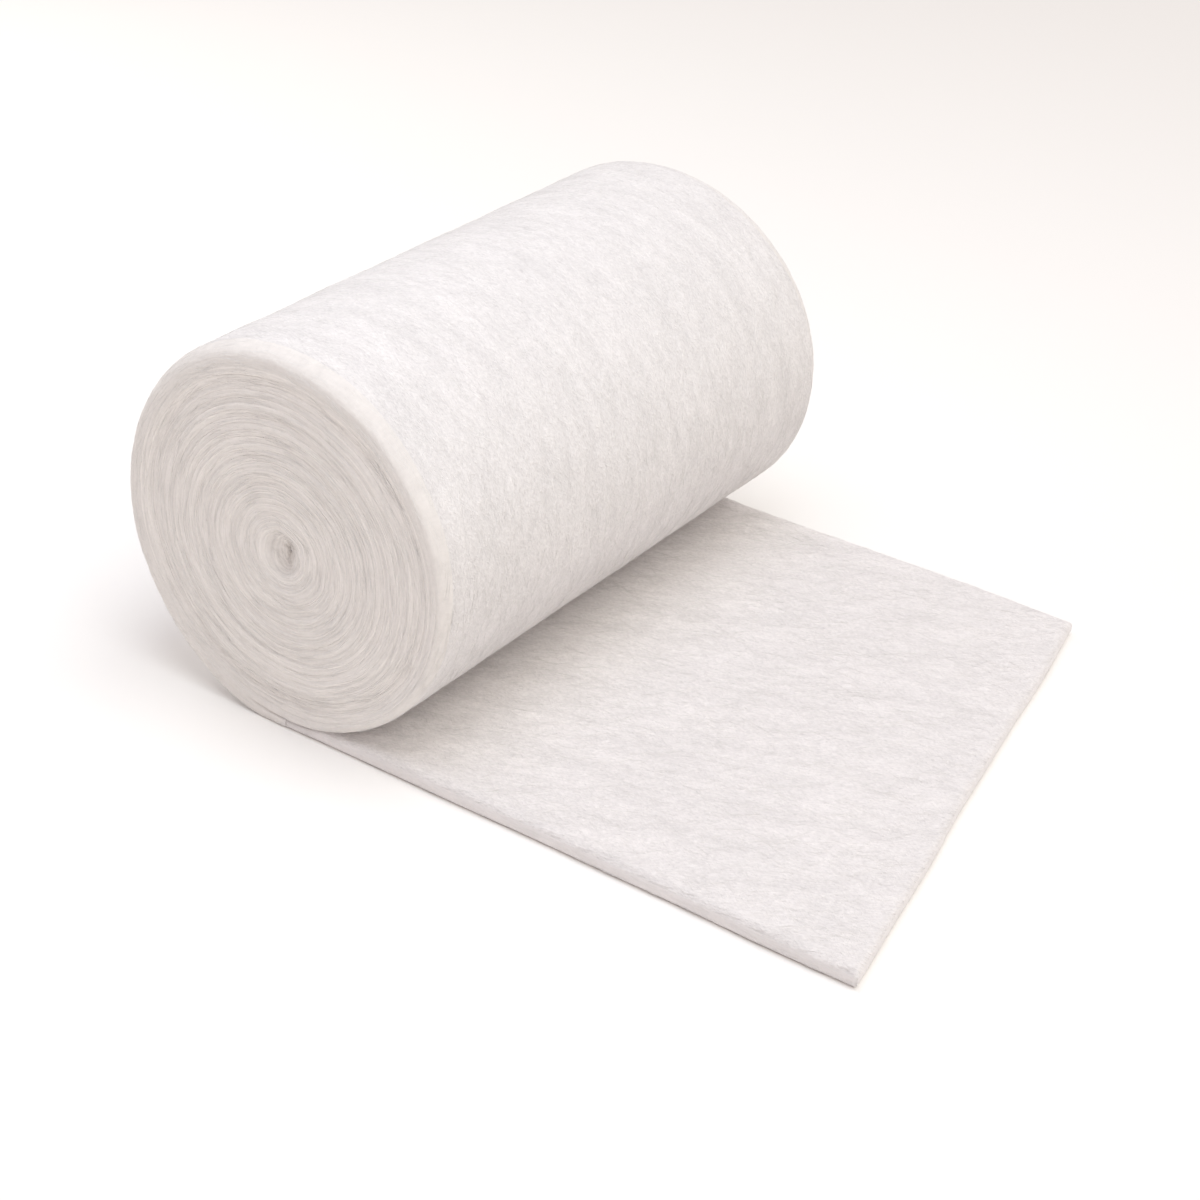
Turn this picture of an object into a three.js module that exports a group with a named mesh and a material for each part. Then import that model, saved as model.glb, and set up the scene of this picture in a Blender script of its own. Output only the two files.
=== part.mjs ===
// A roll of padding bandage lying on its side, with its loose end laid out flat beside it.
// The whole thing is one long band of soft white wadding, wound on itself with no core inside.
// X runs along the loose end, Y along the roll's axis and Z up. Lengths are in millimetres,
// angles in radians. The origin is on the surface, under the middle of the footprint.
import * as THREE from 'three';

// The band as it is cut. Its thickness is that of the loose end, which nothing presses.
const BAND_WIDTH = 100;
const BAND_THICKNESS = 2.8;
const NEAR_EDGE_LENGTH = 97.7;
const FAR_EDGE_LENGTH = 80;

// The roll. Its radius is taken where the outer turn meets the surface. Each turn of the
// wound band takes up the turn pitch, and the outer turn swells because nothing presses it.
const ROLL_RADIUS = 31.3;
const TURN_PITCH = 0.92;
const OUTER_SWELL = 2.0;
const SETTLE = 0.4;
const BACK_LEAN = 0.035;

// The ends of the roll. Inside the outer turn, each ridge stands for about three turns. The
// outer turn is drawn in at its edges, more so the higher it is, and the inner turns sag.
const RIDGES = 10;
const CORE_RADIUS = 1.6;
const SHOULDER = { depth: 0.3, lean: 0.04, fade: 0.2 };
const GROOVE_DEPTH = 0.45;
const RING_SAG = 1.2;
const CORE_HOLLOW = { depth: 1.4, reach: 2.4 };

// The gap kept between the roll and the loose end that it presses under itself.
const GAP = 0.3;

// How finely the surfaces are divided.
const STEPS_PER_TURN = 48;
const LOOSE_END_STEPS = { along: 22, across: 16 };

const TURN = 2 * Math.PI;
const AXIS_HEIGHT = ROLL_RADIUS - SETTLE;

// One ridge from its outer edge inwards: how far across it, and how far its surface is set
// back from the end, on the outer turn's soft shoulder and on the turns inside it.
const RIDGE_PROFILE = [
  { across: 0.0, shoulder: 1.0, groove: 1.0 },
  { across: 0.3, shoulder: 0.28, groove: 0.2 },
  { across: 0.7, shoulder: 0.0, groove: 0.0 },
];

// The outer surface of the band at a winding angle that grows inwards from the foot of the roll.
function woundRadius(angle) {
  const turns = angle / TURN;
  return ROLL_RADIUS - OUTER_SWELL * (1 - Math.exp(-turns)) - TURN_PITCH * turns;
}

// The outer edge of the ridge at a winding angle. The first turn is the outline of the roll.
function ridgeRadius(angle) {
  const firstRidge = woundRadius(TURN);
  const ridgePitch = (firstRidge - CORE_RADIUS) / RIDGES;
  return angle <= TURN ? woundRadius(angle) : firstRidge - ridgePitch * (angle / TURN - 1);
}

// How much of the outer turn's shoulder is left at a winding angle.
function shoulderShare(angle) {
  const past = (angle / TURN - 1) / SHOULDER.fade;
  return 1 - THREE.MathUtils.smoothstep(past, 0, 1);
}

// How high the middle of a ring lies. Under their own weight the inner rings sag together.
function ringHeight(radius) {
  const inside = Math.max(0, 1 - (radius / woundRadius(TURN)) ** 4);
  return AXIS_HEIGHT - RING_SAG * inside;
}

// A point on one end of the roll. side is -1 on the front end and 1 on the back end.
function endPoint(angle, profile, side) {
  const outer = ridgeRadius(angle);
  const radius = outer + profile.across * (ridgeRadius(angle + TURN) - outer);
  const x = -radius * Math.sin(angle);
  const z = Math.max(0, ringHeight(radius) - radius * Math.cos(angle));
  const share = shoulderShare(angle);
  const shoulder = share * profile.shoulder * (SHOULDER.depth + SHOULDER.lean * z);
  const groove = (1 - share) * profile.groove * GROOVE_DEPTH;
  const hollow = CORE_HOLLOW.depth * Math.exp(-((radius / CORE_HOLLOW.reach) ** 2));
  return [x, endPlane(z, side) - side * (shoulder + groove + hollow), z];
}

// The plane of an end at a height: the front end is upright and the back end leans in a little.
function endPlane(height, side) {
  const lean = side < 0 ? 0 : BACK_LEAN;
  return side * (BAND_WIDTH / 2 - lean * height);
}

// The wound turns as one closed skin: a spiral of ridges on each end, joined by the outer
// surface of the outer turn and by the small step where that turn leaves as the loose end.
function woundRollGeometry() {
  const positions = [];
  const faces = [];
  const rows = RIDGE_PROFILE.length;
  const spiralSteps = (RIDGES + 1) * STEPS_PER_TURN;
  const lastStep = spiralSteps + STEPS_PER_TURN;

  function addEnd(side) {
    const first = [];
    for (let step = 0; step <= lastStep; step += 1) {
      first.push(positions.length / 3);
      const inside = step > spiralSteps;
      const row = inside ? RIDGE_PROFILE.slice(0, 1) : RIDGE_PROFILE;
      for (const profile of row) {
        positions.push(...endPoint((step / STEPS_PER_TURN) * TURN, profile, side));
      }
    }
    const core = positions.length / 3;
    const coreZ = ringHeight(0);
    positions.push(0, endPlane(coreZ, side) - side * CORE_HOLLOW.depth, coreZ);
    const at = (step, row) => (row < rows ? first[step] + row : first[step + STEPS_PER_TURN]);
    const addFace = (a, b, c) => faces.push(...(side < 0 ? [a, c, b] : [a, b, c]));

    for (let step = 0; step < spiralSteps; step += 1) {
      for (let row = 0; row < rows; row += 1) {
        addFace(at(step, row), at(step + 1, row), at(step + 1, row + 1));
        addFace(at(step, row), at(step + 1, row + 1), at(step, row + 1));
      }
    }
    for (let step = spiralSteps; step < lastStep; step += 1) {
      addFace(core, at(step, 0), at(step + 1, 0));
    }
    for (let row = 0; row < rows; row += 1) {
      addFace(core, at(spiralSteps, row + 1), at(spiralSteps, row));
    }
    return at;
  }

  const front = addEnd(-1);
  const back = addEnd(1);
  for (let step = 0; step < STEPS_PER_TURN; step += 1) {
    faces.push(front(step, 0), back(step + 1, 0), back(step, 0));
    faces.push(front(step, 0), front(step + 1, 0), back(step + 1, 0));
  }
  for (let row = 0; row < rows; row += 1) {
    faces.push(front(0, row + 1), back(0, row), back(0, row + 1));
    faces.push(front(0, row + 1), front(0, row), back(0, row));
  }
  return closedGeometry(positions, faces);
}

// The underside of the roll, over the loose end.
function rollUnderside(x) {
  const turnedBack = Math.asin(x / woundRadius(TURN));
  const radius = woundRadius(TURN - turnedBack);
  return AXIS_HEIGHT - Math.sqrt(radius ** 2 - x ** 2);
}

// The small rise and fall of the loose end's top, and the waver of its edges.
function unevenTop(x, y) {
  return 0.1 * Math.sin(x / 9 + y / 23) + 0.08 * Math.sin(y / 7 - x / 17);
}

function edgeWaver(distance) {
  return 0.16 * Math.sin(distance / 11) + 0.07 * Math.sin(distance / 4.3 + 1);
}

// A point in the loose end's outline. along and across run from 0 to 1, and inset keeps the
// point away from the edges, which the sheet's soft rim needs.
function looseEndPlace(along, across, inset) {
  const cutLength = THREE.MathUtils.lerp(NEAR_EDGE_LENGTH, FAR_EDGE_LENGTH, across);
  const reach = cutLength + edgeWaver(across * BAND_WIDTH) - inset;
  const x = THREE.MathUtils.lerp(GAP + inset, reach, along);
  const halfWidth = BAND_WIDTH / 2 - inset + along * edgeWaver(x + BAND_WIDTH * across);
  return { x, y: (2 * across - 1) * halfWidth };
}

function looseEndTop(x, y) {
  const free = BAND_THICKNESS + unevenTop(x, y);
  return x < ROLL_RADIUS / 2 ? Math.min(free, rollUnderside(x) - GAP) : free;
}

// The loose end: a flat sheet from the foot of the roll to its slanting cut. It is pressed
// thin under the roll, its rim is rounded, and its underside lies flat on the surface.
function looseEndGeometry() {
  const positions = [];
  const faces = [];
  const { along: alongSteps, across: acrossSteps } = LOOSE_END_STEPS;
  const rim = { topInset: 1.5, bottomInset: 0.7, height: 0.45 };

  function addPoint(alongStep, acrossStep, inset, heightShare) {
    const place = looseEndPlace(alongStep / alongSteps, acrossStep / acrossSteps, inset);
    const height = heightShare * looseEndTop(place.x, place.y);
    positions.push(place.x, place.y, height);
    return positions.length / 3 - 1;
  }

  function addSheet(inset, heightShare) {
    const grid = [];
    for (let i = 0; i <= alongSteps; i += 1) {
      grid.push([]);
      for (let j = 0; j <= acrossSteps; j += 1) {
        grid[i].push(addPoint(i, j, inset, heightShare));
      }
    }
    return grid;
  }

  const rimSteps = [];
  for (let i = 0; i < alongSteps; i += 1) rimSteps.push([i, 0]);
  for (let j = 0; j < acrossSteps; j += 1) rimSteps.push([alongSteps, j]);
  for (let i = alongSteps; i > 0; i -= 1) rimSteps.push([i, acrossSteps]);
  for (let j = acrossSteps; j > 0; j -= 1) rimSteps.push([0, j]);

  const top = addSheet(rim.topInset, 1);
  const bottom = addSheet(rim.bottomInset, 0);
  for (let i = 0; i < alongSteps; i += 1) {
    for (let j = 0; j < acrossSteps; j += 1) {
      faces.push(top[i][j], top[i + 1][j], top[i + 1][j + 1]);
      faces.push(top[i][j], top[i + 1][j + 1], top[i][j + 1]);
      faces.push(bottom[i][j], bottom[i + 1][j + 1], bottom[i + 1][j]);
      faces.push(bottom[i][j], bottom[i][j + 1], bottom[i + 1][j + 1]);
    }
  }
  const topRim = rimSteps.map(([i, j]) => top[i][j]);
  const widestRim = rimSteps.map(([i, j]) => addPoint(i, j, 0, rim.height));
  const bottomRim = rimSteps.map(([i, j]) => bottom[i][j]);
  for (const [upper, lower] of [[topRim, widestRim], [widestRim, bottomRim]]) {
    for (let k = 0; k < rimSteps.length; k += 1) {
      const next = (k + 1) % rimSteps.length;
      faces.push(upper[k], lower[k], lower[next]);
      faces.push(upper[k], lower[next], upper[next]);
    }
  }
  return closedGeometry(positions, faces);
}

function closedGeometry(positions, faces) {
  const geometry = new THREE.BufferGeometry();
  geometry.setAttribute('position', new THREE.Float32BufferAttribute(positions, 3));
  geometry.setIndex(faces);
  geometry.computeVertexNormals();
  return geometry;
}

// Soft white wadding: the loose end catches a little more light than the packed ends do.
function wadding(color) {
  return new THREE.MeshStandardMaterial({ color, roughness: 0.96, metalness: 0 });
}

function namedMesh(name, geometry, material) {
  const mesh = new THREE.Mesh(geometry, material);
  mesh.name = name;
  return mesh;
}

const bandageRoll = new THREE.Group();
bandageRoll.add(namedMesh('wound_roll', woundRollGeometry(), wadding(0xebe5e1)));
bandageRoll.add(namedMesh('loose_end', looseEndGeometry(), wadding(0xefe9e7)));

const footprint = new THREE.Box3().setFromObject(bandageRoll);
bandageRoll.position.x = -(footprint.min.x + footprint.max.x) / 2;
bandageRoll.position.y = -(footprint.min.y + footprint.max.y) / 2;

export default bandageRoll;
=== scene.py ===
# A roll of padding bandage on its side, with its loose end laid out flat beside it.
# Lengths are in metres: X runs along the loose end, Y along the roll and Z up.
import math

import bpy
import mathutils
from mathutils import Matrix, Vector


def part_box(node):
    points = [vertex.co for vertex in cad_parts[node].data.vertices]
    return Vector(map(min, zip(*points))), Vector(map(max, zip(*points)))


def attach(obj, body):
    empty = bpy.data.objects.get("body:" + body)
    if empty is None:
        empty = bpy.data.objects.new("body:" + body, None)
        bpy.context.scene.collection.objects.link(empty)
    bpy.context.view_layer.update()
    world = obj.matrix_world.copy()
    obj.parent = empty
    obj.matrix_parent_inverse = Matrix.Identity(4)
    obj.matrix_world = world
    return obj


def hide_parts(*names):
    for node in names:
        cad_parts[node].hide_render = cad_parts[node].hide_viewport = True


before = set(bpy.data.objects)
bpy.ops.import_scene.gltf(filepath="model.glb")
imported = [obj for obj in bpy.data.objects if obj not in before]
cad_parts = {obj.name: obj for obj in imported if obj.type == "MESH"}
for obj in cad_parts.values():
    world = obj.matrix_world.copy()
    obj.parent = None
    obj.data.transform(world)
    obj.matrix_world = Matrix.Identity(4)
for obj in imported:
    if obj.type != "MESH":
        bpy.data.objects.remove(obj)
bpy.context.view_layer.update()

# The wound turns
# The roll is one band of carded white wadding, wound some 31 times on itself with no core.
# The band is slit from a wider web, so its cut edges show as fine soft rings on both ends.
# Inside it is pressed to about a third of its loft, and only the outer turn swells again.
MM = 0.001
TURN = 2 * math.pi
FOOT_GAP = 0.3 * MM
FOOT_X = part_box("loose_end")[0].x - FOOT_GAP

WINDING = {
    "Foot X": FOOT_X,
    "Band width": 100 * MM,
    "Roll radius": 31.3 * MM,
    "Turn pitch": 0.92 * MM,
    "Outer swell": 2.0 * MM,
    "Settle": 0.4 * MM,
    "Back lean": 0.035,
    "Turn gap": 0.004 * MM,
    "Core radius": 0.2 * MM,
    "Shoulder lean": 0.04,
    "Shoulder turns": 3.2,
    "Lip rounding": 2.0 * MM,
    "Proud edge": 0.15 * MM,
    "Valley depth": 0.5 * MM,
    "Valley turn": 4.4,
    "Valley width": 1.3,
    "Edge rounding": 0.1 * MM,
    "Edge waver": 0.5 * MM,
    "Edge steps": 0.06 * MM,
    "Core hollow": 2.2 * MM,
    "Core reach": 2.5 * MM,
    "Ring sag": 1.2 * MM,
    "Slit size": 2.2 * MM,
    "Slit squeeze": 0.5,
    "Slit tilt": 0.25,
    "Ring waver": 0.5 * MM,
    "Loft waver": 0.35 * MM,
    "Foot turns": 0.15,
    "Free turns": 0.05,
}
TURNS = 31.5
TURN_STEPS = 120
EDGE_POINTS = 9
RIM = {"bottom": 0.6 * MM, "top": 0.9 * MM, "sharpness": 3.2}
# The marks of the broad faces and the cut edges, and how far across the edges start.
BROAD_FACE, CUT_EDGE = 1, 2
EDGE_START = 0.999

# The steepest part of the outer turn that may rest on the floor, as the cosine of its angle.
REST_COSINE = 0.5
# How the lip's rounding grows with height, in shares of the roll's radius, and how much of it
# the shoulder takes back. The lip ends over the last stretch of its turn.
LIP_GROWTH = {"per radius": 1.4, "at the foot": 0.2}
LIP_TAKEN_BACK = 0.72
LIP_END = {"steepness": 8, "start": 7}
# The loft's waver ends over the last stretch of the outer turn in the same way.
LOFT_END = {"turns": 0.4, "start": 1.5}
# How many turns in from the edge the rings start to show, and where most of them are smooth.
SMOOTH_TURNS = {"mean": 1.9, "swing": 1.1, "widest at": 0.8 * math.pi, "fade": 1.5}
# How patchy the rings are, and how sharply each is rounded off at its two corners.
PATCHINESS = {"mean": 0.7, "swing": 0.8}
CORNER_SHARPNESS = 5
# The noise is read at places that move so far for each radian, turn and end of the roll.
NOISE_STRIDE = {"angle": 0.8 * MM, "turn": 3 * MM, "end": 50 * MM}
BROAD_STRIDE = {"round": 1.3 * MM, "turn": 0.5 * MM, "end": 50 * MM}
RING_STRIDE = 20 * MM
RING_WAVER_SIZE = 11 * MM
LOFT_WAVER_SIZE = 14 * MM
# The waver of the rings starts so many turns in from the outer edge.
STRAIGHT_TURNS = 0.3


class Amount:
    """A number that a node tree works out. Signs between amounts add the nodes for them."""

    def __init__(self, tree, socket):
        self.tree = tree
        self.socket = socket

    def __add__(self, other):
        return worked_out(self.tree, "ADD", self, other)

    def __sub__(self, other):
        return worked_out(self.tree, "SUBTRACT", self, other)

    def __mul__(self, other):
        return worked_out(self.tree, "MULTIPLY", self, other)

    def __truediv__(self, other):
        return worked_out(self.tree, "DIVIDE", self, other)

    def __pow__(self, other):
        return worked_out(self.tree, "POWER", self, other)

    def __neg__(self):
        return self * -1

    def __rsub__(self, other):
        return worked_out(self.tree, "SUBTRACT", other, self)

    def __rtruediv__(self, other):
        return worked_out(self.tree, "DIVIDE", other, self)

    def __rpow__(self, other):
        return worked_out(self.tree, "POWER", other, self)

    __radd__ = __add__
    __rmul__ = __mul__

    def at_least(self, low):
        return worked_out(self.tree, "MAXIMUM", self, low)

    def at_most(self, high):
        return worked_out(self.tree, "MINIMUM", self, high)

    def named(self, operation):
        return worked_out(self.tree, operation, self)


def worked_out(tree, operation, *values):
    node = tree.nodes.new("ShaderNodeMath")
    node.operation = operation
    for place, value in zip(node.inputs, values):
        if isinstance(value, Amount):
            tree.links.new(value.socket, place)
        else:
            place.default_value = value
    return Amount(tree, node.outputs[0])


def eased(amount):
    """0 below 0, 1 above 1, and a soft step between them."""
    share = amount.at_least(0).at_most(1)
    return share * share * (3 - share * 2)


def stepped(amount, slope=1000):
    """0 below 0, and 1 just above it."""
    return (amount * slope).at_least(0).at_most(1)


def joined(tree, *parts):
    """Three amounts as one place."""
    node = tree.nodes.new("ShaderNodeCombineXYZ")
    for place, value in zip(node.inputs, parts):
        if isinstance(value, Amount):
            tree.links.new(value.socket, place)
        else:
            place.default_value = value
    return node.outputs[0]


def waver(tree, place, size, seed, detail=2.0):
    """Smooth noise from about -1 to 1, whose humps are about as wide as size."""
    node = tree.nodes.new("ShaderNodeTexNoise")
    node.noise_dimensions = "4D"
    tree.links.new(place, node.inputs["Vector"])
    node.inputs["W"].default_value = seed
    node.inputs["Scale"].default_value = 1 / size
    node.inputs["Detail"].default_value = detail
    return Amount(tree, node.outputs[0]) * 2 - 1


def new_tree(name, sizes, whole_numbers=()):
    """A tree for shapes, with its named inputs, and its inputs as amounts."""
    tree = bpy.data.node_groups.new(name, "GeometryNodeTree")
    tree.interface.new_socket("Geometry", in_out="INPUT", socket_type="NodeSocketGeometry")
    for size in sizes:
        tree.interface.new_socket(size, in_out="INPUT", socket_type="NodeSocketFloat")
    for count in whole_numbers:
        tree.interface.new_socket(count, in_out="INPUT", socket_type="NodeSocketInt")
    tree.interface.new_socket("Finish", in_out="INPUT", socket_type="NodeSocketMaterial")
    tree.interface.new_socket("Geometry", in_out="OUTPUT", socket_type="NodeSocketGeometry")
    given = tree.nodes.new("NodeGroupInput")
    return tree, given, {socket.name: Amount(tree, socket) for socket in given.outputs[:-1]}


def step(tree, kind, links=(), **settings):
    """One node, its settings, and its inputs by name or number."""
    node = tree.nodes.new(kind)
    for setting, value in settings.items():
        setattr(node, setting, value)
    for place, value in dict(links).items():
        if isinstance(value, Amount):
            value = value.socket
        if isinstance(value, bpy.types.NodeSocket):
            tree.links.new(value, node.inputs[place])
        else:
            node.inputs[place].default_value = value
    return node


def wound_radius(turns, sizes):
    """The outer surface of the band, in turns inwards from the foot of the roll."""
    swell = sizes["Outer swell"] * (1 - math.e ** (-turns))
    return sizes["Roll radius"] - swell - sizes["Turn pitch"] * turns


def rim_inset(through):
    """How far a free cut edge is rounded back, from the band's outer face to its inner one."""
    corner = (through * 2 - 1) ** 2
    return (RIM["bottom"] + through * (RIM["top"] - RIM["bottom"])) * corner ** (
        RIM["sharpness"] / 2
    )


def kept(tree, shape, name, value, kind="FLOAT", domain="POINT"):
    """Stores a field on the shape, for the finish and for the fibres."""
    return step(
        tree,
        "GeometryNodeStoreNamedAttribute",
        {"Geometry": shape, "Name": name, "Value": value},
        data_type=kind,
        domain=domain,
    ).outputs[0]


def wound_band_tree():
    """The band along its winding law. Its section runs round from the inner corner of the
    front edge, across the outer face, to the inner corner of the back edge."""
    extra = ("First angle", "Last angle")
    tree, given, size = new_tree("Wound band", (*WINDING, *extra), ("Steps", "Face points"))
    index = tree.nodes.new("GeometryNodeInputIndex").outputs[0]

    path = step(tree, "GeometryNodeCurvePrimitiveLine").outputs[0]
    path = step(
        tree, "GeometryNodeResampleCurve", {"Curve": path, "Count": size["Steps"] + 1}
    ).outputs[0]
    path = step(tree, "GeometryNodeCaptureAttribute", {"Geometry": path})
    path.capture_items.new("FLOAT", "Step")
    tree.links.new(index, path.inputs[1])

    points = size["Face points"] + 2 * EDGE_POINTS
    ring = step(tree, "GeometryNodeCurvePrimitiveCircle", {"Resolution": points}).outputs[0]
    ring = step(tree, "GeometryNodeCaptureAttribute", {"Geometry": ring})
    ring.capture_items.new("FLOAT", "Place")
    tree.links.new(index, ring.inputs[1])

    band = step(
        tree,
        "GeometryNodeCurveToMesh",
        {"Curve": path.outputs[0], "Profile Curve": ring.outputs[0], "Fill Caps": True},
    ).outputs[0]
    along = Amount(tree, path.outputs[1]) / size["Steps"]
    place = Amount(tree, ring.outputs[1])

    # Through runs from 0 on the outer face to 1 on the inner face, and across from -1 at the
    # front edge to 1 at the back edge.
    edge = EDGE_POINTS - 1
    front = (1 - place / edge).at_least(0)
    back = ((place - edge - size["Face points"] - 1) / edge).at_least(0)
    through = front + back

    def at_points(amount):
        """The amount at the corners of a face, and not at its middle."""
        node = step(tree, "GeometryNodeFieldOnDomain", {"Value": amount}, domain="POINT")
        return Amount(tree, node.outputs[0])

    across = ((place - edge) / (size["Face points"] + 1)).at_least(0).at_most(1) * 2 - 1
    angle = size["First angle"] + along * (size["Last angle"] - size["First angle"])
    turns = angle / TURN

    axis_height = size["Roll radius"] - size["Settle"]
    rounded = wound_radius(turns, size)
    rise = eased(turns / size["Foot turns"] + through)
    settled = rounded.at_most(axis_height / angle.named("COSINE").at_least(REST_COSINE))
    inner = (wound_radius(turns + 1, size) + size["Turn gap"]).at_least(size["Core radius"])
    radius = settled + through * (inner - settled)

    run = (
        size["Roll radius"] * angle
        - size["Outer swell"] * (angle - TURN * (1 - math.e ** (-turns)))
        - size["Turn pitch"] * angle * angle / (2 * TURN)
    )
    width = across * size["Band width"] / 2
    unrolled = joined(tree, run, width, through * size["Turn pitch"])
    loft = waver(tree, unrolled, LOFT_WAVER_SIZE, seed=3.0) * size["Loft waver"]
    loft = loft * (1 - through)
    radius = radius + loft * rise * (1 - eased(turns / LOFT_END["turns"] - LOFT_END["start"]))

    sine, cosine = angle.named("SINE"), angle.named("COSINE")
    flat_place = joined(tree, radius * sine, radius * cosine, across * RING_STRIDE)
    inside = (1 - (radius / wound_radius(1, size)) ** 4).at_least(0)
    shift_x = waver(tree, flat_place, RING_WAVER_SIZE, seed=7.0) * size["Ring waver"] * inside
    shift_z = waver(tree, flat_place, RING_WAVER_SIZE, seed=9.0) * size["Ring waver"] * inside
    slit = math.e ** (-((radius / size["Slit size"]) ** 2))
    tilted = radius * cosine * slit * size["Slit tilt"]
    x = shift_x - (radius * sine * (1 - slit * size["Slit squeeze"]) - tilted)
    tall = radius * cosine * (1 + slit * size["Slit squeeze"])
    z = (axis_height - inside * size["Ring sag"] - tall + shift_z).at_least(0)

    depth = turns + through
    below = depth - turns.named("FRACT")
    upright = eased(z / size["Roll radius"])
    growth = z / size["Roll radius"] * LIP_GROWTH["per radius"] + LIP_GROWTH["at the foot"]
    rounding = size["Lip rounding"] * eased(growth)
    fall = (1 - below / size["Shoulder turns"]).at_least(0) ** 3
    lip_end = 1 - eased(turns * LIP_END["steepness"] - LIP_END["start"])
    lip = rounding * (1 - below).at_least(0) ** 2 * lip_end
    shoulder = (size["Shoulder lean"] * z - rounding * LIP_TAKEN_BACK) * fall
    from_valley = (depth - size["Valley turn"]) / size["Valley width"]
    valley = size["Valley depth"] * math.e ** (-(from_valley**2))
    swing = (angle - SMOOTH_TURNS["widest at"]).named("COSINE") * SMOOTH_TURNS["swing"]
    smooth_turns = SMOOTH_TURNS["mean"] + swing
    side_place = joined(
        tree,
        angle * NOISE_STRIDE["angle"],
        across * NOISE_STRIDE["end"],
        turns * NOISE_STRIDE["turn"],
    )
    patches = waver(tree, side_place, 1 * MM, seed=4.0, detail=1.0)
    patchy = PATCHINESS["mean"] + patches * PATCHINESS["swing"]
    grooved = eased((depth - smooth_turns) / SMOOTH_TURNS["fade"] + 0.5) * (1 - slit)
    groove = size["Edge rounding"] * grooved * patchy
    corner = (through * 2 - 1).named("ABSOLUTE") ** CORNER_SHARPNESS
    level = depth * BROAD_STRIDE["turn"] + across * BROAD_STRIDE["end"]
    broad_place = joined(
        tree, sine * BROAD_STRIDE["round"], cosine * BROAD_STRIDE["round"], level
    )
    broad = waver(tree, broad_place, 1 * MM, seed=1.0, detail=1.0)
    fine = waver(tree, side_place, 1 * MM, seed=6.0, detail=1.0)
    shift = broad * size["Edge waver"] + fine * size["Edge steps"]
    hollow = size["Core hollow"] * math.e ** (-((radius / size["Core reach"]) ** 2))
    free = 1 - eased(turns / size["Free turns"])
    setback = free * rim_inset(through) + (1 - free) * lip
    setback = setback + shoulder + rise * (valley + groove * corner)
    setback = setback + rise * eased(depth - STRAIGHT_TURNS) * shift + hollow
    lean = stepped(across) * size["Back lean"] * z
    y = across * (size["Band width"] / 2 + size["Proud edge"] * upright - lean - setback)

    band = step(
        tree,
        "GeometryNodeSetPosition",
        {"Geometry": band, "Position": joined(tree, x + size["Foot X"], y, z)},
    ).outputs[0]
    band = kept(tree, band, "unrolled", unrolled, "FLOAT_VECTOR")
    band = kept(tree, band, "run", joined(tree, -cosine, 0.0, sine), "FLOAT_VECTOR")
    on_edge = stepped(at_points(across).named("ABSOLUTE") - EDGE_START, 2000)
    on_face = (1 - at_points(through) * 1000).at_least(0) * (1 - on_edge)
    band = kept(tree, band, "side", on_face * BROAD_FACE + on_edge * CUT_EDGE, domain="FACE")
    band = step(tree, "GeometryNodeFlipFaces", {"Mesh": band}).outputs[0]
    band = step(
        tree, "GeometryNodeSetMaterial", {"Geometry": band, "Material": given.outputs["Finish"]}
    ).outputs[0]
    band = step(tree, "GeometryNodeRealizeInstances", {"Geometry": band}).outputs[0]
    last = tree.nodes.new("NodeGroupOutput")
    tree.links.new(band, last.inputs[0])
    return tree


def grown(name, tree, values, start=None):
    """Runs a tree once from its named inputs, and keeps what it makes as a plain mesh."""
    piece = bpy.data.objects.new(name, start or bpy.data.meshes.new(name))
    bpy.context.scene.collection.objects.link(piece)
    modifier = piece.modifiers.new("shape", "NODES")
    modifier.node_group = tree
    for socket in tree.interface.items_tree:
        if socket.in_out == "INPUT" and socket.name in values:
            modifier[socket.identifier] = values[socket.name]
    depsgraph = bpy.context.evaluated_depsgraph_get()
    mesh = bpy.data.meshes.new_from_object(
        piece.evaluated_get(depsgraph), preserve_all_data_layers=True, depsgraph=depsgraph
    )
    piece.modifiers.remove(modifier)
    piece.data = mesh
    return piece


LAYERS = (
    {"skew": 42, "length": 1.6 * MM, "width": 0.22 * MM, "height": 0.05 * MM, "shade": 0.07},
    {"skew": 8, "length": 2.4 * MM, "width": 0.26 * MM, "height": 0.05 * MM, "shade": 0.06},
    {"skew": -30, "length": 1.3 * MM, "width": 0.2 * MM, "height": 0.04 * MM, "shade": 0.06},
    {"skew": 15, "length": 0.6 * MM, "width": 0.4 * MM, "height": 0.05 * MM, "shade": 0.11},
    {"skew": 20, "length": 2.6 * MM, "width": 1.2 * MM, "height": 0.12 * MM, "shade": 0.07},
    {"skew": 24, "length": 14 * MM, "width": 4 * MM, "height": 0.25 * MM, "shade": 0.08},
)
PACKED_RUN = 220 * MM
LIP = {"width": 0.12 * MM, "length": 30 * MM, "height": 0.03 * MM, "shade": 0.1}
LIP_SHOWN = {"mean": 0.6, "swing": 1.5}
# The roll's cut ends are painted a touch darker: painted shade, where the end faces turn away
# from the light.
PAINTED_END_SHADE = 0.005
# The cut ends are also painted warmer: partly the packed fibres' own tone, partly painted warm
# shade.
PACKED_TONE_AND_PAINTED_SHADE = (1.0, 0.99, 0.965)
RING_LAYERS = (
    {"length": 16 * MM, "width": 0.3 * MM, "height": 0.02 * MM, "shade": 0.045},
    {"length": 30 * MM, "width": 0.5 * MM, "height": 0.03 * MM, "shade": 0.06},
    {"length": 50 * MM, "width": 0.8 * MM, "height": 0.03 * MM, "shade": 0.05},
)
# The rings are thin lines: the higher the sharpness, the thinner. Between them the surface
# dips no lower than the floor.
RING_LINES = {"sharpness": 5, "floor": -0.5, "sunk": 0.1}
# The strength of the webs on a cut edge, and how far the fibres bend on an edge and a face.
EDGE_STRENGTH = 0.6
BEND = {"size": 5 * MM, "edge": 0.1 * MM, "face": 0.9 * MM}


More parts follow.
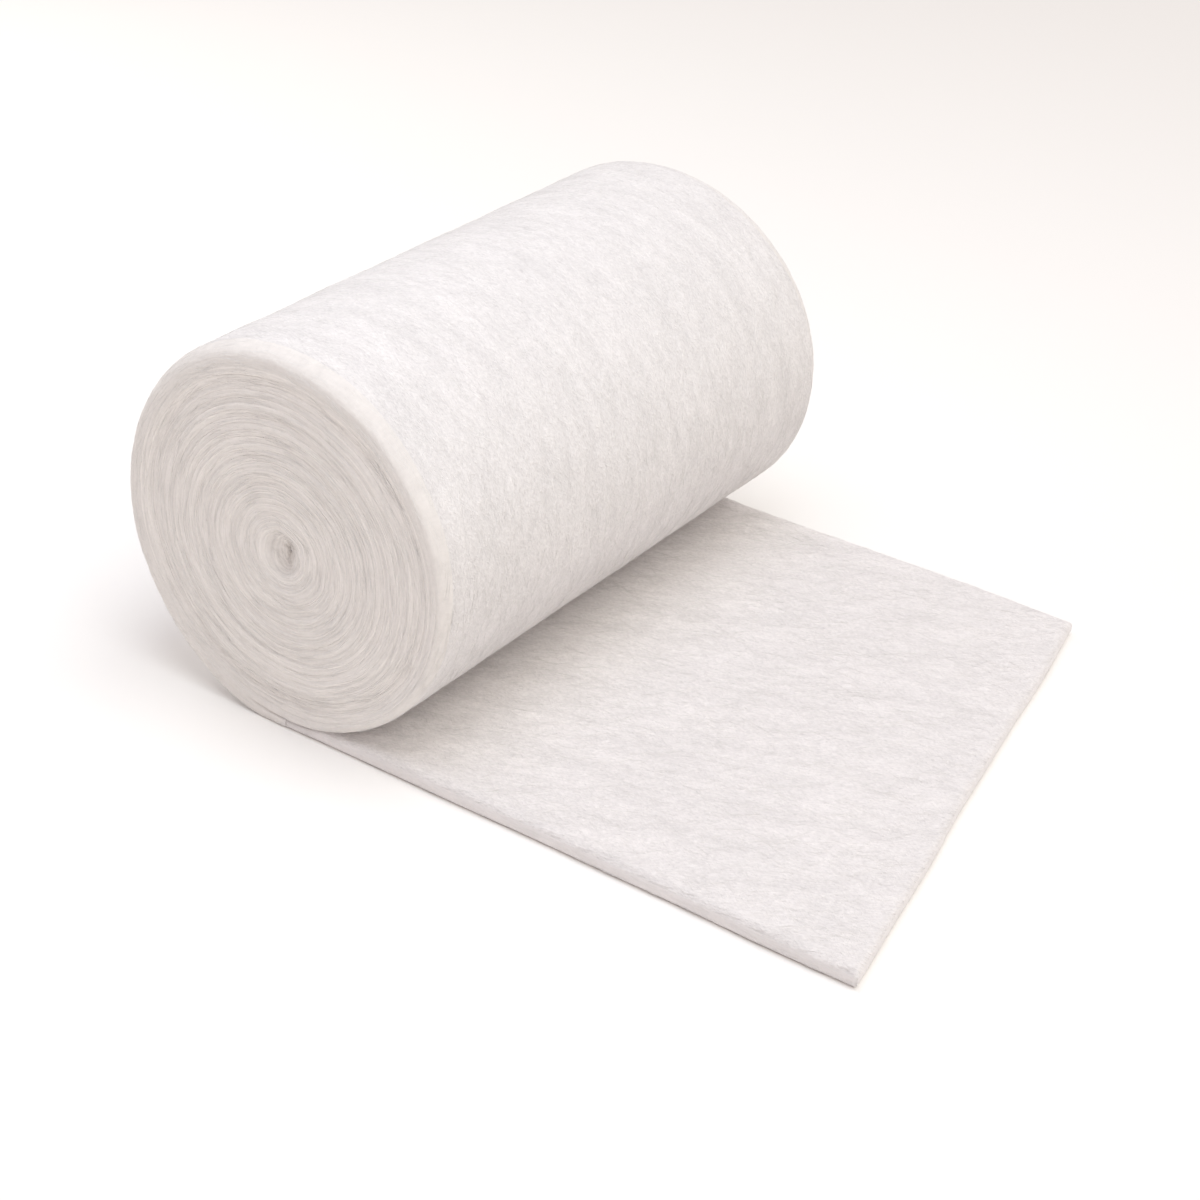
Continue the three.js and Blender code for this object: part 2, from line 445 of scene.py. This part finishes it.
def wadding(name, tint, lay, strength):
    """Carded wadding: matt white fibres in webs that cross one another, with small tufts and
    thicker and thinner clouds between them. lay turns the webs, in degrees, and strength is
    how much they show on a broad face."""
    material = bpy.data.materials.new(name)
    material.use_nodes = True
    tree = material.node_tree
    place = step(tree, "ShaderNodeAttribute", attribute_name="unrolled")
    parts = step(tree, "ShaderNodeSeparateXYZ", {0: place.outputs["Vector"]})
    run, across, through = (Amount(tree, part) for part in parts.outputs)
    side = Amount(tree, step(tree, "ShaderNodeAttribute", attribute_name="side").outputs["Fac"])
    on_face = (CUT_EDGE - side).at_least(0).at_most(1)
    on_edge = 1 - on_face
    packed = on_edge * eased(run / PACKED_RUN - 1)
    bend = waver(tree, place.outputs["Vector"], BEND["size"], seed=2.0)
    bend = bend * (BEND["edge"] + on_face * BEND["face"])

    # The roll's cut ends, which get the painted shade and the warmer tone below.
    cut_end_shade = on_edge * stepped(run)
    height, shade = 0, 1
    for number, layer in enumerate(RING_LAYERS):
        spot = joined(tree, run / layer["length"], (through + bend) / layer["width"], across)
        valley = waver(tree, spot, 1.0, seed=30.0 + number).named("ABSOLUTE")
        line = 1 - valley * RING_LINES["sharpness"]
        line = (line.at_least(RING_LINES["floor"]) - RING_LINES["sunk"]) * packed
        height = height + line * layer["height"]
        shade = shade + line * layer["shade"]
    for number, layer in enumerate(LAYERS):
        skew = math.radians(layer["skew"] + lay)
        turned = on_face * math.sin(skew)
        lengthwise = run * math.cos(skew) - across * turned
        sideways = run * turned + across * math.cos(skew) + through + bend
        spot = joined(tree, lengthwise / layer["length"], sideways / layer["width"], 0.0)
        shown = EDGE_STRENGTH + on_face * (strength - EDGE_STRENGTH)
        hump = waver(tree, spot, 1.0, seed=10.0 + number) * shown
        height = height + hump * layer["height"]
        shade = shade + hump * layer["shade"]
    lip = math.e ** (-((through / LIP["width"] - 1) ** 2))
    spot = joined(tree, run / LIP["length"], across, 0.0)
    lip_swing = waver(tree, spot, 1.0, seed=40.0) * LIP_SHOWN["swing"]
    lip = lip * (LIP_SHOWN["mean"] + lip_swing).at_least(0) * packed
    height = height + lip * LIP["height"]
    # The last term darkens the roll's cut ends: painted shade.
    shade = shade + lip * LIP["shade"] - cut_end_shade * PAINTED_END_SHADE
    shader = tree.nodes["Principled BSDF"]
    colour = step(
        tree, "ShaderNodeVectorMath", {0: tint, "Scale": shade}, operation="SCALE"
    )
    # Warmer colour on the roll's cut ends: partly the packed fibres' own tone, partly painted
    # warm shade.
    warm_tone_and_shade = step(
        tree,
        "ShaderNodeVectorMath",
        {0: [1 - part for part in PACKED_TONE_AND_PAINTED_SHADE], "Scale": -cut_end_shade},
        operation="SCALE",
    )
    warm_tone_and_shade = step(
        tree, "ShaderNodeVectorMath", {0: warm_tone_and_shade.outputs[0], 1: (1, 1, 1)}, operation="ADD"
    )
    colour = step(
        tree,
        "ShaderNodeVectorMath",
        {0: colour.outputs[0], 1: warm_tone_and_shade.outputs[0]},
        operation="MULTIPLY",
    )
    tree.links.new(colour.outputs[0], shader.inputs["Base Color"])
    bump = step(tree, "ShaderNodeBump", {"Distance": 1.0, "Height": height})
    tree.links.new(bump.outputs[0], shader.inputs["Normal"])
    shader.inputs["Roughness"].default_value = 0.95
    shader.inputs["Specular IOR Level"].default_value = 0.1
    return material


band_tree = wound_band_tree()
wound_finish = wadding("wound_wadding", (0.82, 0.79, 0.77), -22, 1.4)


def wound(name, first, last, steps, face_points, sharp_from):
    """The band from one turn to another. Edges that fold by more degrees stay sharp."""
    piece = grown(
        name,
        band_tree,
        {
            **WINDING,
            "First angle": first * TURN,
            "Last angle": last * TURN,
            "Steps": steps,
            "Face points": face_points,
            "Finish": wound_finish,
        },
    )
    piece.data.polygons.foreach_set("use_smooth", [True] * len(piece.data.polygons))
    piece.data.set_sharp_from_angle(angle=math.radians(sharp_from))
    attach(piece, "root")
    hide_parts("wound_roll")
    return piece


outer_turn = wound("outer_turn", 0, 1, steps=330, face_points=160, sharp_from=60)
inner_steps = round((TURNS - 1) * TURN_STEPS)
inner_turns = wound(
    "inner_turns", 1, TURNS, steps=inner_steps, face_points=2, sharp_from=35
)

# The loose end
# The last stretch of the band, unrolled onto the surface and free to loft. Its far end is cut
# off at a slant by hand, its cut edges are soft, and under the roll it is pressed thin.
LOFT = 2.8 * MM
NEAR_LENGTH = 97.7 * MM
FAR_LENGTH = 80.0 * MM
PRESSED_GAP = 0.05 * MM
LAID_STEPS = {"along": 160, "across": 160}
CUT_ROWS = 6
EDGE_WAVES = (
    {"height": 0.16 * MM, "length": 11 * MM, "start": 0},
    {"height": 0.07 * MM, "length": 4.3 * MM, "start": 1},
)
LOFT_WAVES = (
    {"height": 0.1 * MM, "along": 9 * MM, "across": 23 * MM},
    {"height": 0.08 * MM, "along": -17 * MM, "across": 7 * MM},
)


def edge_waver(distance):
    return sum(
        wave["height"] * math.sin(distance / wave["length"] + wave["start"])
        for wave in EDGE_WAVES
    )


def roll_underside(x):
    """The height of the roll over the loose end, at a distance from its foot."""
    reach = wound_radius(1, WINDING)
    turned_back = math.asin(min(x / reach, 1))
    radius = wound_radius(1 - turned_back / TURN, WINDING)
    axis_height = WINDING["Roll radius"] - WINDING["Settle"]
    return axis_height - math.sqrt(max(radius**2 - x**2, 0))


def laid_thickness(x, y):
    free = LOFT + sum(
        wave["height"] * math.sin(x / wave["along"] + y / wave["across"])
        for wave in LOFT_WAVES
    )
    if x > WINDING["Roll radius"] / 2:
        return free
    return min(free, roll_underside(x) - PRESSED_GAP)


def laid_point(along, across, through):
    inset = rim_inset(through)
    cut = NEAR_LENGTH + across * (FAR_LENGTH - NEAR_LENGTH)
    x = along * (cut + edge_waver(across * WINDING["Band width"]) - inset)
    edge_place = x + across * WINDING["Band width"]
    half_width = WINDING["Band width"] / 2 - inset + along * edge_waver(edge_place)
    y = (2 * across - 1) * half_width
    return x, y, through * laid_thickness(x, y)


def laid_end():
    """The sheet as a top, a bottom and rows of rim between them on its three free sides. The
    rim's lower rows are the cut edge, and its upper rows look like the top."""
    points, faces, sides = [], [], []
    columns, rows = LAID_STEPS["along"], LAID_STEPS["across"]

    def add_point(i, j, through):
        points.append(laid_point(i / columns, j / rows, through))
        return len(points) - 1

    def add_face(side, *corners):
        faces.append(corners)
        sides.append(side)

    top = [[add_point(i, j, 1) for j in range(rows + 1)] for i in range(columns + 1)]
    bottom = [[add_point(i, j, 0) for j in range(rows + 1)] for i in range(columns + 1)]
    for i in range(columns):
        for j in range(rows):
            add_face(BROAD_FACE, top[i][j], top[i + 1][j], top[i + 1][j + 1], top[i][j + 1])
            add_face(
                0, bottom[i][j], bottom[i][j + 1], bottom[i + 1][j + 1], bottom[i + 1][j]
            )
    rim = [(i, 0) for i in range(columns)]
    rim += [(columns, j) for j in range(rows)]
    rim += [(i, rows) for i in range(columns, -1, -1)]
    levels = [[bottom[i][j] for i, j in rim]]
    for k in range(1, EDGE_POINTS - 1):
        levels.append([add_point(i, j, k / (EDGE_POINTS - 1)) for i, j in rim])
    levels.append([top[i][j] for i, j in rim])
    for level, (lower, upper) in enumerate(zip(levels, levels[1:])):
        side = CUT_EDGE if level < CUT_ROWS else BROAD_FACE
        for k in range(len(rim) - 1):
            add_face(side, lower[k], lower[k + 1], upper[k + 1], upper[k])
    foot = [level[0] for level in levels]
    foot += top[0][1:-1]
    foot += [level[-1] for level in reversed(levels)]
    foot += bottom[0][-2:0:-1]
    add_face(0, *foot)

    mesh = bpy.data.meshes.new("loose_end_sheet")
    mesh.from_pydata([(x + FOOT_X, y, z) for x, y, z in points], [], faces)
    unrolled = mesh.attributes.new("unrolled", "FLOAT_VECTOR", "POINT")
    unrolled.data.foreach_set("vector", [v for x, y, z in points for v in (-x, y, z)])
    run = mesh.attributes.new("run", "FLOAT_VECTOR", "POINT")
    run.data.foreach_set("vector", [-1.0, 0.0, 0.0] * len(points))
    side = mesh.attributes.new("side", "FLOAT", "FACE")
    side.data.foreach_set("value", sides)
    mesh.polygons.foreach_set("use_smooth", [True] * len(faces))
    return mesh


loose_finish = wadding("loose_wadding", (0.86, 0.825, 0.808), 0, 1.45)
loose_end = bpy.data.objects.new("loose_end_sheet", laid_end())
loose_end.data.materials.append(loose_finish)
bpy.context.scene.collection.objects.link(loose_end)
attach(loose_end, "root")
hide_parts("loose_end")

# The loose fibres
# Single fibres that the carding left on the wadding's skin. Each lies roughly along the band,
# dips into the skin at both ends and stands a hair proud between them.
FIBRE_SIDES = 3
FIBRE_POINTS = 5
LENGTH_RANGE = (0.4, 1.4)
SUNK_SHARE = 0.4
TIP_THICKNESS = 0.45


def fibre_tree():
    lengths = ("Fibre length", "Fibre radius", "Skew", "Spread", "Wave", "Wave size", "Lift")
    names = ("Side", "Fibres per square metre", *lengths)
    tree, given, size = new_tree("Loose fibres", names, ("Seed",))
    side = Amount(
        tree, step(tree, "GeometryNodeInputNamedAttribute", {"Name": "side"}).outputs[0]
    )
    here = 1 - (side - size["Side"]).named("ABSOLUTE") * 2
    skin = step(
        tree,
        "GeometryNodeSeparateGeometry",
        {"Geometry": given.outputs["Geometry"], "Selection": here.at_least(0)},
        domain="FACE",
    ).outputs[0]
    spots = step(
        tree,
        "GeometryNodeDistributePointsOnFaces",
        {"Mesh": skin, "Density": size["Fibres per square metre"], "Seed": size["Seed"]},
    )
    run = step(
        tree, "GeometryNodeInputNamedAttribute", {"Name": "run"}, data_type="FLOAT_VECTOR"
    )

    def chance(low, high, number):
        node = step(tree, "FunctionNodeRandomValue", {2: low, 3: high, 8: size["Seed"] + number})
        return Amount(tree, node.outputs[1])

    turned = (chance(-1.0, 1.0, 1) + chance(-1.0, 1.0, 2)) * size["Spread"] / 2 + size["Skew"]
    way = step(tree, "FunctionNodeAlignRotationToVector", {"Vector": run.outputs[0]}, axis="X")
    way = step(
        tree,
        "FunctionNodeAlignRotationToVector",
        {"Rotation": way.outputs[0], "Vector": spots.outputs["Normal"]},
        axis="Z",
        pivot_axis="X",
    )
    turn = step(
        tree, "FunctionNodeAxisAngleToRotation", {"Axis": (0, 0, 1), "Angle": turned}
    )
    way = step(
        tree,
        "FunctionNodeRotateRotation",
        {"Rotation": way.outputs[0], "Rotate By": turn.outputs[0]},
        rotation_space="LOCAL",
    )
    spots = kept(tree, spots.outputs["Points"], "strand", chance(0.0, 1000.0, 3))
    length = size["Fibre length"] * chance(*LENGTH_RANGE, 4)
    strand = step(
        tree, "GeometryNodeCurvePrimitiveLine", {"Start": (-0.5, 0, 0), "End": (0.5, 0, 0)}
    )
    strand = step(
        tree, "GeometryNodeResampleCurve", {"Curve": strand.outputs[0], "Count": FIBRE_POINTS}
    )
    laid = step(
        tree,
        "GeometryNodeInstanceOnPoints",
        {
            "Points": spots,
            "Instance": strand.outputs[0],
            "Rotation": way.outputs[0],
            "Scale": joined(tree, length, length, length),
        },
    )
    laid = step(tree, "GeometryNodeRealizeInstances", {"Geometry": laid.outputs[0]}).outputs[0]

    place = tree.nodes.new("GeometryNodeInputPosition").outputs[0]
    own = step(tree, "GeometryNodeInputNamedAttribute", {"Name": "strand"}).outputs[0]
    noise = step(
        tree,
        "ShaderNodeTexNoise",
        {"Vector": place, "W": own, "Scale": 1 / size["Wave size"], "Detail": 1.0},
        noise_dimensions="4D",
    )
    centred = step(
        tree,
        "ShaderNodeVectorMath",
        {0: noise.outputs["Color"], 1: (0.5, 0.5, 0.5)},
        operation="SUBTRACT",
    )
    wave = step(
        tree,
        "ShaderNodeVectorMath",
        {0: centred.outputs[0], "Scale": size["Wave"] * 2},
        operation="SCALE",
    )
    laid = step(
        tree, "GeometryNodeSetPosition", {"Geometry": laid, "Offset": wave.outputs[0]}
    ).outputs[0]
    nearest = step(tree, "GeometryNodeProximity", {0: skin}, target_element="FACES")
    normal = step(
        tree,
        "GeometryNodeSampleNearestSurface",
        {"Mesh": skin, "Value": tree.nodes.new("GeometryNodeInputNormal").outputs[0]},
        data_type="FLOAT_VECTOR",
    )
    factor = Amount(tree, tree.nodes.new("GeometryNodeSplineParameter").outputs[0])
    bow = 1 - (factor * 2 - 1) ** 2
    raised = step(
        tree,
        "ShaderNodeVectorMath",
        {0: normal.outputs[0], "Scale": (bow - SUNK_SHARE) * size["Lift"]},
        operation="SCALE",
    )
    on_skin = step(
        tree,
        "ShaderNodeVectorMath",
        {0: nearest.outputs["Position"], 1: raised.outputs[0]},
        operation="ADD",
    )
    lowest = joined(tree, -1.0, -1.0, size["Fibre radius"])
    above = step(
        tree,
        "ShaderNodeVectorMath",
        {0: on_skin.outputs[0], 1: lowest},
        operation="MAXIMUM",
    )
    laid = step(
        tree, "GeometryNodeSetPosition", {"Geometry": laid, "Position": above.outputs[0]}
    ).outputs[0]
    section = step(
        tree,
        "GeometryNodeCurvePrimitiveCircle",
        {"Resolution": FIBRE_SIDES, "Radius": size["Fibre radius"]},
    )
    fibres = step(
        tree,
        "GeometryNodeCurveToMesh",
        {
            "Curve": laid,
            "Profile Curve": section.outputs[0],
            "Scale": TIP_THICKNESS + bow * (1 - TIP_THICKNESS),
            "Fill Caps": True,
        },
    ).outputs[0]
    fibres = step(tree, "GeometryNodeSetShadeSmooth", {"Geometry": fibres}).outputs[0]
    fibres = step(
        tree,
        "GeometryNodeSetMaterial",
        {"Geometry": fibres, "Material": given.outputs["Finish"]},
    ).outputs[0]
    fibres = step(tree, "GeometryNodeRealizeInstances", {"Geometry": fibres}).outputs[0]
    last = tree.nodes.new("NodeGroupOutput")
    tree.links.new(fibres, last.inputs[0])
    return tree


fibres_tree = fibre_tree()
FIBRE_SHADE = {"mean": 0.96, "swing": 0.08}


def loose_fibre(name, tint):
    """A single matt fibre, each a little lighter or darker than the next."""
    material = bpy.data.materials.new(name)
    material.use_nodes = True
    tree = material.node_tree
    strand = step(tree, "ShaderNodeAttribute", attribute_name="strand").outputs["Fac"]
    own = joined(tree, Amount(tree, strand), 0.0, 0.0)
    shade = FIBRE_SHADE["mean"] + waver(tree, own, 1.0, seed=5.0) * FIBRE_SHADE["swing"]
    shader = tree.nodes["Principled BSDF"]
    colour = step(
        tree, "ShaderNodeVectorMath", {0: tint, "Scale": shade}, operation="SCALE"
    )
    tree.links.new(colour.outputs[0], shader.inputs["Base Color"])
    shader.inputs["Roughness"].default_value = 0.9
    shader.inputs["Specular IOR Level"].default_value = 0.2
    return material


fibre_finish = loose_fibre("fibre", (0.9, 0.88, 0.86))


def strewn(name, skin, values):
    piece = grown(name, fibres_tree, {**values, "Finish": fibre_finish}, skin.data.copy())
    piece.visible_shadow = False
    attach(piece, "root")
    return piece


FIBRES = {
    "Side": float(BROAD_FACE),
    "Fibres per square metre": 2.8e5,
    "Fibre length": 9 * MM,
    "Fibre radius": 0.02 * MM,
    "Skew": math.radians(27),
    "Spread": math.radians(80),
    "Wave": 1.6 * MM,
    "Wave size": 6 * MM,
    "Lift": 0.16 * MM,
    "Seed": 11,
}
EDGE_FIBRES = {
    **FIBRES,
    "Side": float(CUT_EDGE),
    "Fibres per square metre": 8e5,
    "Fibre length": 5 * MM,
    "Skew": 0.0,
    "Spread": math.radians(20),
    "Wave": 0.4 * MM,
    "Lift": 0.12 * MM,
    "Seed": 23,
}
wound_fibres = {**FIBRES, "Skew": math.radians(5)}
strewn("outer_turn_fibres", outer_turn, wound_fibres)
strewn("loose_end_fibres", loose_end, {**FIBRES, "Seed": 12})
strewn("ring_fibres", inner_turns, EDGE_FIBRES)
strewn("outer_ring_fibres", outer_turn, {**EDGE_FIBRES, "Seed": 24})
strewn("rim_fibres", loose_end, {**EDGE_FIBRES, "Seed": 25})

# The studio
# A plain pale floor, a white room all round and three wide soft lights.
FLOOR_SIZE = 8.0
ROOM_LIGHT = {"strength": 0.515, "colour": (0.985, 0.89, 0.905)}
SOFTBOXES = {
    "overhead": {
        "target": (0, -0.05, 0.03),
        "azimuth": 0,
        "elevation": 90,
        "distance": 0.28,
        "size": 0.22,
        "power": 0.25,
        "colour": (0.74, 0.82, 1.0),
    },
    "right": {
        "target": (0, 0, 0.02),
        "azimuth": 90,
        "elevation": 60,
        "distance": 1.7,
        "size": 2.0,
        "power": 16.6,
        "colour": (0.98, 1.0, 0.93),
    },
    "left": {
        "target": (0, 0, 0.02),
        "azimuth": 270,
        "elevation": 30,
        "distance": 0.4,
        "size": 0.4,
        "power": 0.4,
        "colour": (0.95, 1.0, 0.99),
    },
}
VIEW = {
    "azimuth": math.radians(33.748),
    "elevation": math.radians(30.436),
    "roll": math.radians(2.891),
    "distance": 371.379 * MM,
    "target": (FOOT_X + 29.177 * MM, -11.568 * MM, 15.524 * MM),
    "lens": 73.91,
}


def studio_floor():
    mesh = bpy.data.meshes.new("floor")
    half = FLOOR_SIZE / 2
    corners = [(-half, -half, 0), (half, -half, 0), (half, half, 0), (-half, half, 0)]
    mesh.from_pydata(corners, [], [(0, 1, 2, 3)])
    material = bpy.data.materials.new("floor")
    material.use_nodes = True
    shader = material.node_tree.nodes["Principled BSDF"]
    shader.inputs["Base Color"].default_value = (0.98, 0.965, 0.94, 1)
    shader.inputs["Roughness"].default_value = 0.9
    shader.inputs["Specular IOR Level"].default_value = 0.0
    mesh.materials.append(material)
    floor = bpy.data.objects.new("floor", mesh)
    bpy.context.scene.collection.objects.link(floor)


def studio_light():
    """Soft round lights, each turned round the roll by azimuth and elevation."""
    world = bpy.data.worlds.new("studio")
    world.use_nodes = True
    backdrop = world.node_tree.nodes["Background"]
    backdrop.inputs["Color"].default_value = (*ROOM_LIGHT["colour"], 1)
    backdrop.inputs["Strength"].default_value = ROOM_LIGHT["strength"]
    bpy.context.scene.world = world
    for name, light in SOFTBOXES.items():
        data = bpy.data.lights.new(name, "AREA")
        data.shape = "DISK"
        data.size = light["size"]
        data.energy = light["power"]
        data.color = light["colour"]
        softbox = bpy.data.objects.new(name, data)
        azimuth, elevation = math.radians(light["azimuth"]), math.radians(light["elevation"])
        reach = light["distance"] * math.cos(elevation)
        back = mathutils.Vector(
            (
                reach * math.sin(azimuth),
                -reach * math.cos(azimuth),
                light["distance"] * math.sin(elevation),
            )
        )
        softbox.location = mathutils.Vector(light["target"]) + back
        softbox.rotation_euler = back.to_track_quat("Z", "Y").to_euler()
        bpy.context.scene.collection.objects.link(softbox)


def studio_camera():
    """Turned round its target by azimuth and elevation, and about its own axis by roll."""
    data = bpy.data.cameras.new("camera")
    data.lens = VIEW["lens"]
    data.sensor_width = 36
    data.clip_start, data.clip_end = 0.01, 20
    camera = bpy.data.objects.new("camera", data)
    turned = mathutils.Matrix.Rotation(VIEW["azimuth"], 4, "Z")
    raised = mathutils.Matrix.Rotation(math.pi / 2 - VIEW["elevation"], 4, "X")
    rolled = mathutils.Matrix.Rotation(VIEW["roll"], 4, "Z")
    back = mathutils.Matrix.Translation((0, 0, VIEW["distance"]))
    camera.matrix_world = (
        mathutils.Matrix.Translation(VIEW["target"]) @ turned @ raised @ rolled @ back
    )
    bpy.context.scene.collection.objects.link(camera)
    bpy.context.scene.camera = camera


studio_floor()
studio_light()
studio_camera()
bpy.context.scene.view_settings.view_transform = "Standard"
